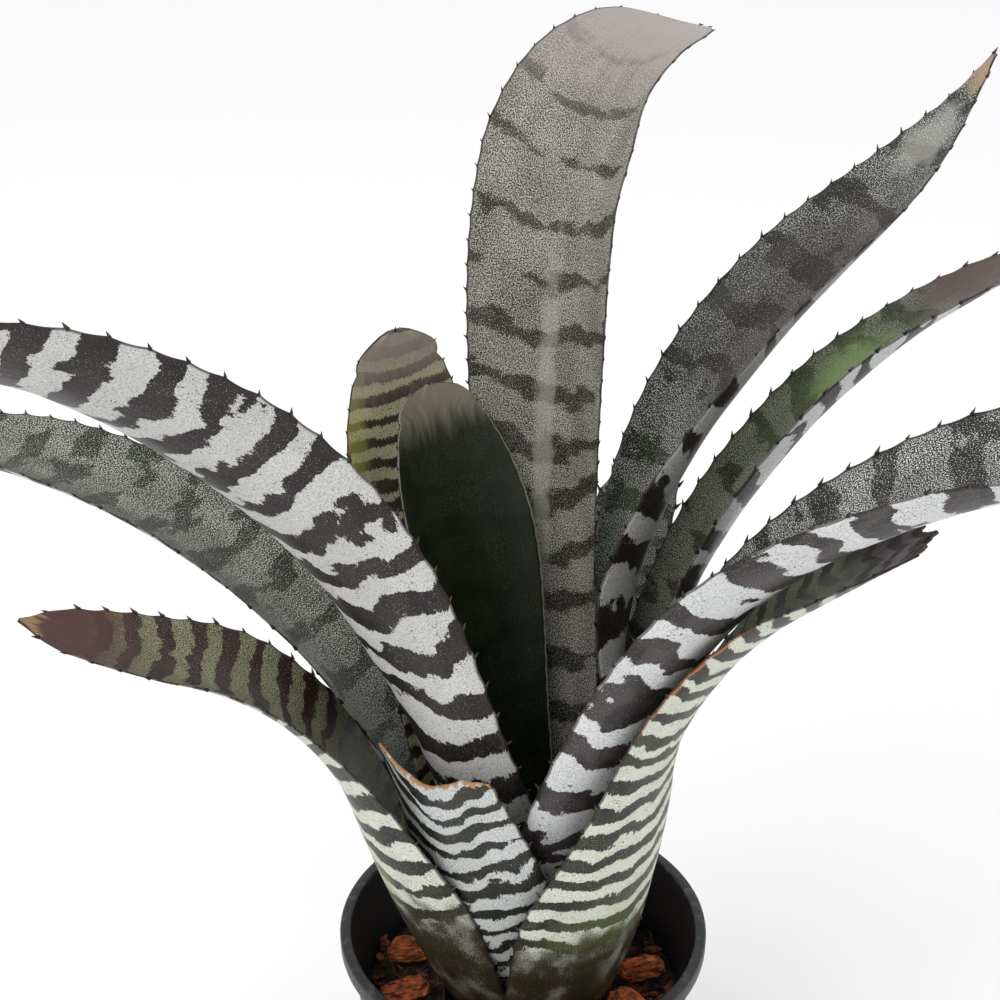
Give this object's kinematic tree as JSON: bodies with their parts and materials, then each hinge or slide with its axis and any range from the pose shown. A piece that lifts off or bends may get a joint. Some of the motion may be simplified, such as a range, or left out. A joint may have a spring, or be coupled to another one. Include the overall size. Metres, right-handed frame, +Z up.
{
  "type": "potted bromeliad",
  "caption": "Vase-shaped bromeliad with zebra-banded, spiny-edged strap leaves, rooted in bark mix in a plain black round nursery pot that stands on its flat base.",
  "frame": {"origin": "middle of the pot's flat underside", "axes": "+Z up along the pot's axis; -Y towards the viewer's side; +X to the viewer's right"},
  "size_m": [0.4681, 0.2364, 0.4137],
  "materials": {
    "black_plastic": "injection-moulded black polypropylene, satin, dusty and lightly scuffed on the lip",
    "bark_mix": "damp, dark composted bark and peat, loose and matt",
    "bark": "rough, fibrous red-brown bark chunks, matt",
    "stem_tissue": "short woody stem, hidden by the leaf sheaths",
    "leaf": "thick leathery leaf, dark olive-brown, crossed by bands of silver-white scurf, satin"
  },
  "bodies": {
    "root": {"nursery_pot": "black_plastic", "potting_mix": "bark_mix", "stem": "stem_tissue", "bark_chip_01": "bark", "bark_chip_02": "bark", "bark_chip_03": "bark", "bark_chip_04": "bark", "bark_chip_05": "bark", "bark_chip_06": "bark", "bark_chip_07": "bark", "bark_chip_08": "bark", "bark_chip_09": "bark", "bark_chip_10": "bark", "bark_chip_11": "bark", "leaf_outer_right": "leaf", "leaf_outer_left": "leaf", "leaf_outer_front": "leaf", "leaf_middle_left": "leaf", "leaf_outer_back_right": "leaf", "leaf_outer_back_left": "leaf", "leaf_middle_right_front": "leaf", "leaf_middle_right_back": "leaf", "leaf_inner_right_back": "leaf", "leaf_inner_front_left": "leaf", "leaf_inner_back": "leaf", "leaf_young_centre": "leaf"}
  },
  "joints": []
}
